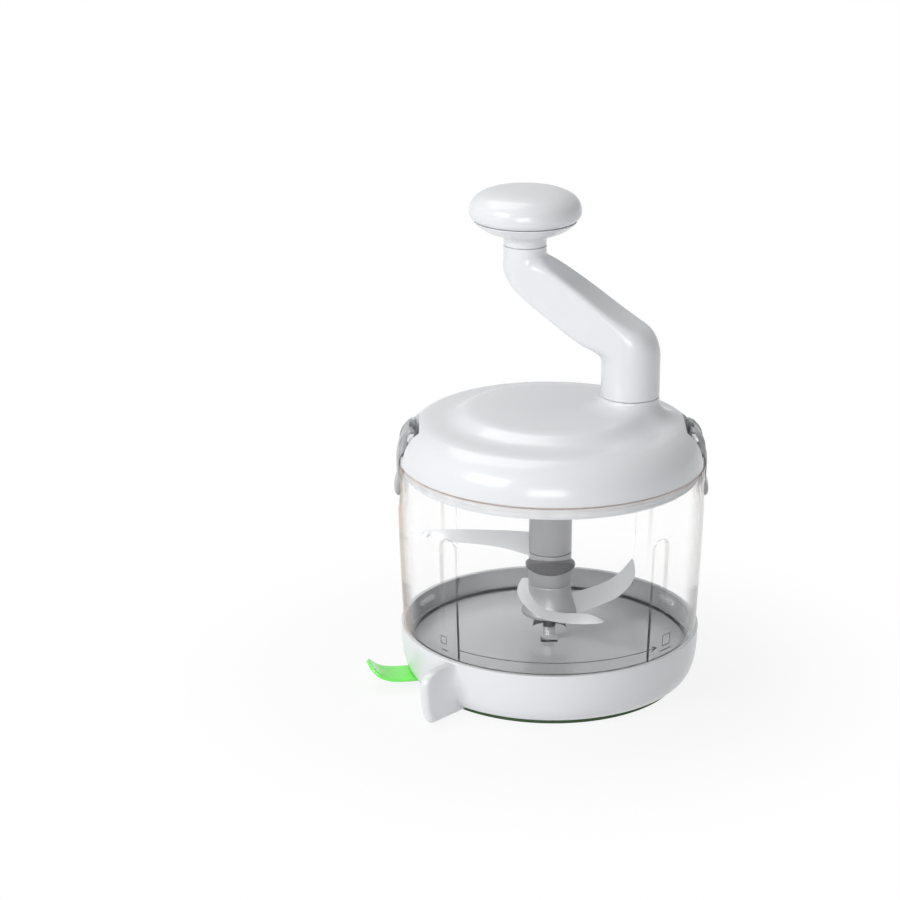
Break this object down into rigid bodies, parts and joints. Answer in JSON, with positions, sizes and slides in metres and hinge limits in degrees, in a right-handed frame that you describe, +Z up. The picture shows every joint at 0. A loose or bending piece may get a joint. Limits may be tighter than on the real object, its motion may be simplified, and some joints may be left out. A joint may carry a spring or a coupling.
{
  "type": "hand crank food chopper",
  "caption": "Hand-cranked food chopper: clear bowl with a winged blade column, white geared lid with a cranked arm and round knob, side latches, and a suction base with a lever.",
  "frame": {"origin": "centre of the flat underside of the suction pad, on the table", "axes": "+Z up along the bowl axis, +X to the right-hand latch, -Y towards the front, where the badge faces"},
  "size_m": [0.1627, 0.1466, 0.2342],
  "materials": {
    "white_plastic": "gloss, cool white",
    "clear_plastic": "clear, glossy, faintly tinted at the edges",
    "green_plastic": "gloss, leaf green",
    "grey_latch": "satin gloss, mid grey",
    "hub_grey": "satin with a metallic grey cast",
    "dark_grey": "satin, dark grey",
    "black_rubber": "soft, matte, dark green black",
    "grey_seal": "soft, matte, pale grey",
    "blade_steel": "polished, thin brushed lines",
    "pin_steel": "bright turned steel",
    "inner_plastic": "satin natural acetal"
  },
  "bodies": {
    "base": {"base_housing": "white_plastic", "base_deck": "white_plastic", "base_floor_plate": "white_plastic", "suction_pad": "black_rubber", "plunger_spring": "pin_steel", "floor_screws": "pin_steel"},
    "lever": {"suction_lever": "green_plastic"},
    "plunger": {"suction_plunger": "inner_plastic"},
    "bowl": {"bowl": "clear_plastic", "bowl_spindle": "pin_steel", "lid_shell": "white_plastic", "lid_collar": "white_plastic", "lid_underplate": "white_plastic", "lid_gasket": "grey_seal", "lid_screws": "pin_steel", "pinion_bush": "inner_plastic", "crank_foot_bush": "inner_plastic", "crank_bush": "inner_plastic", "latch_pins": "pin_steel"},
    "latch_right": {"latch_right": "grey_latch"},
    "latch_left": {"latch_left": "grey_latch"},
    "rotor": {"hub_upper": "hub_grey", "hub_middle": "hub_grey", "hub_badge": "dark_grey", "hub_lower": "hub_grey", "hub_bushes": "inner_plastic", "upper_blade": "blade_steel", "lower_blade_side": "blade_steel", "lower_blade_front": "blade_steel", "drive_pinion": "inner_plastic"},
    "crank": {"crank_gear": "inner_plastic", "crank_shaft": "pin_steel", "gear_clip": "pin_steel", "crank_arm": "white_plastic", "knob_spindle": "pin_steel"},
    "knob": {"knob_sleeve": "inner_plastic", "knob_cup": "white_plastic", "knob_cap": "white_plastic"}
  },
  "joints": [
    {"name": "lever_swing", "type": "hinge", "parent": "base", "child": "lever", "pos_m": [0, 0, 0.005], "axis": [0, 0, 1], "range_deg": [0, 25]},
    {"name": "plunger_lift", "type": "slide", "parent": "base", "child": "plunger", "axis": [0, 0, 1], "range_m": [0, 0.003], "deforming": ["suction_pad", "plunger_spring"]},
    {"name": "bowl_twist", "type": "hinge", "parent": "base", "child": "bowl", "pos_m": [0, 0, 0.0165], "axis": [0, 0, 1], "range_deg": [-25, 0]},
    {"name": "crank_spin", "type": "hinge", "parent": "bowl", "child": "crank", "pos_m": [0.03663, 0.00299, 0.13], "axis": [0, 0, 1], "continuous": true},
    {"name": "blade_spin", "type": "hinge", "parent": "bowl", "child": "rotor", "pos_m": [0, 0, 0.06], "axis": [0, 0, 1], "continuous": true},
    {"name": "knob_spin", "type": "hinge", "parent": "crank", "child": "knob", "pos_m": [-0.01271, 0.02094, 0.215], "axis": [0, 0, 1], "continuous": true},
    {"name": "latch_right_swing", "type": "hinge", "parent": "bowl", "child": "latch_right", "pos_m": [0.0665, 0, 0.122], "axis": [0, -1, 0], "range_deg": [0, 70]},
    {"name": "latch_left_swing", "type": "hinge", "parent": "bowl", "child": "latch_left", "pos_m": [-0.0665, 0, 0.122], "axis": [0, 1, 0], "range_deg": [0, 70]}
  ],
  "couplings": [
    {"joint": "blade_spin", "follows": "crank_spin", "ratio": -2.0625},
    {"joint": "plunger_lift", "follows": "lever_swing", "m_per_rad": 0.006872}
  ]
}
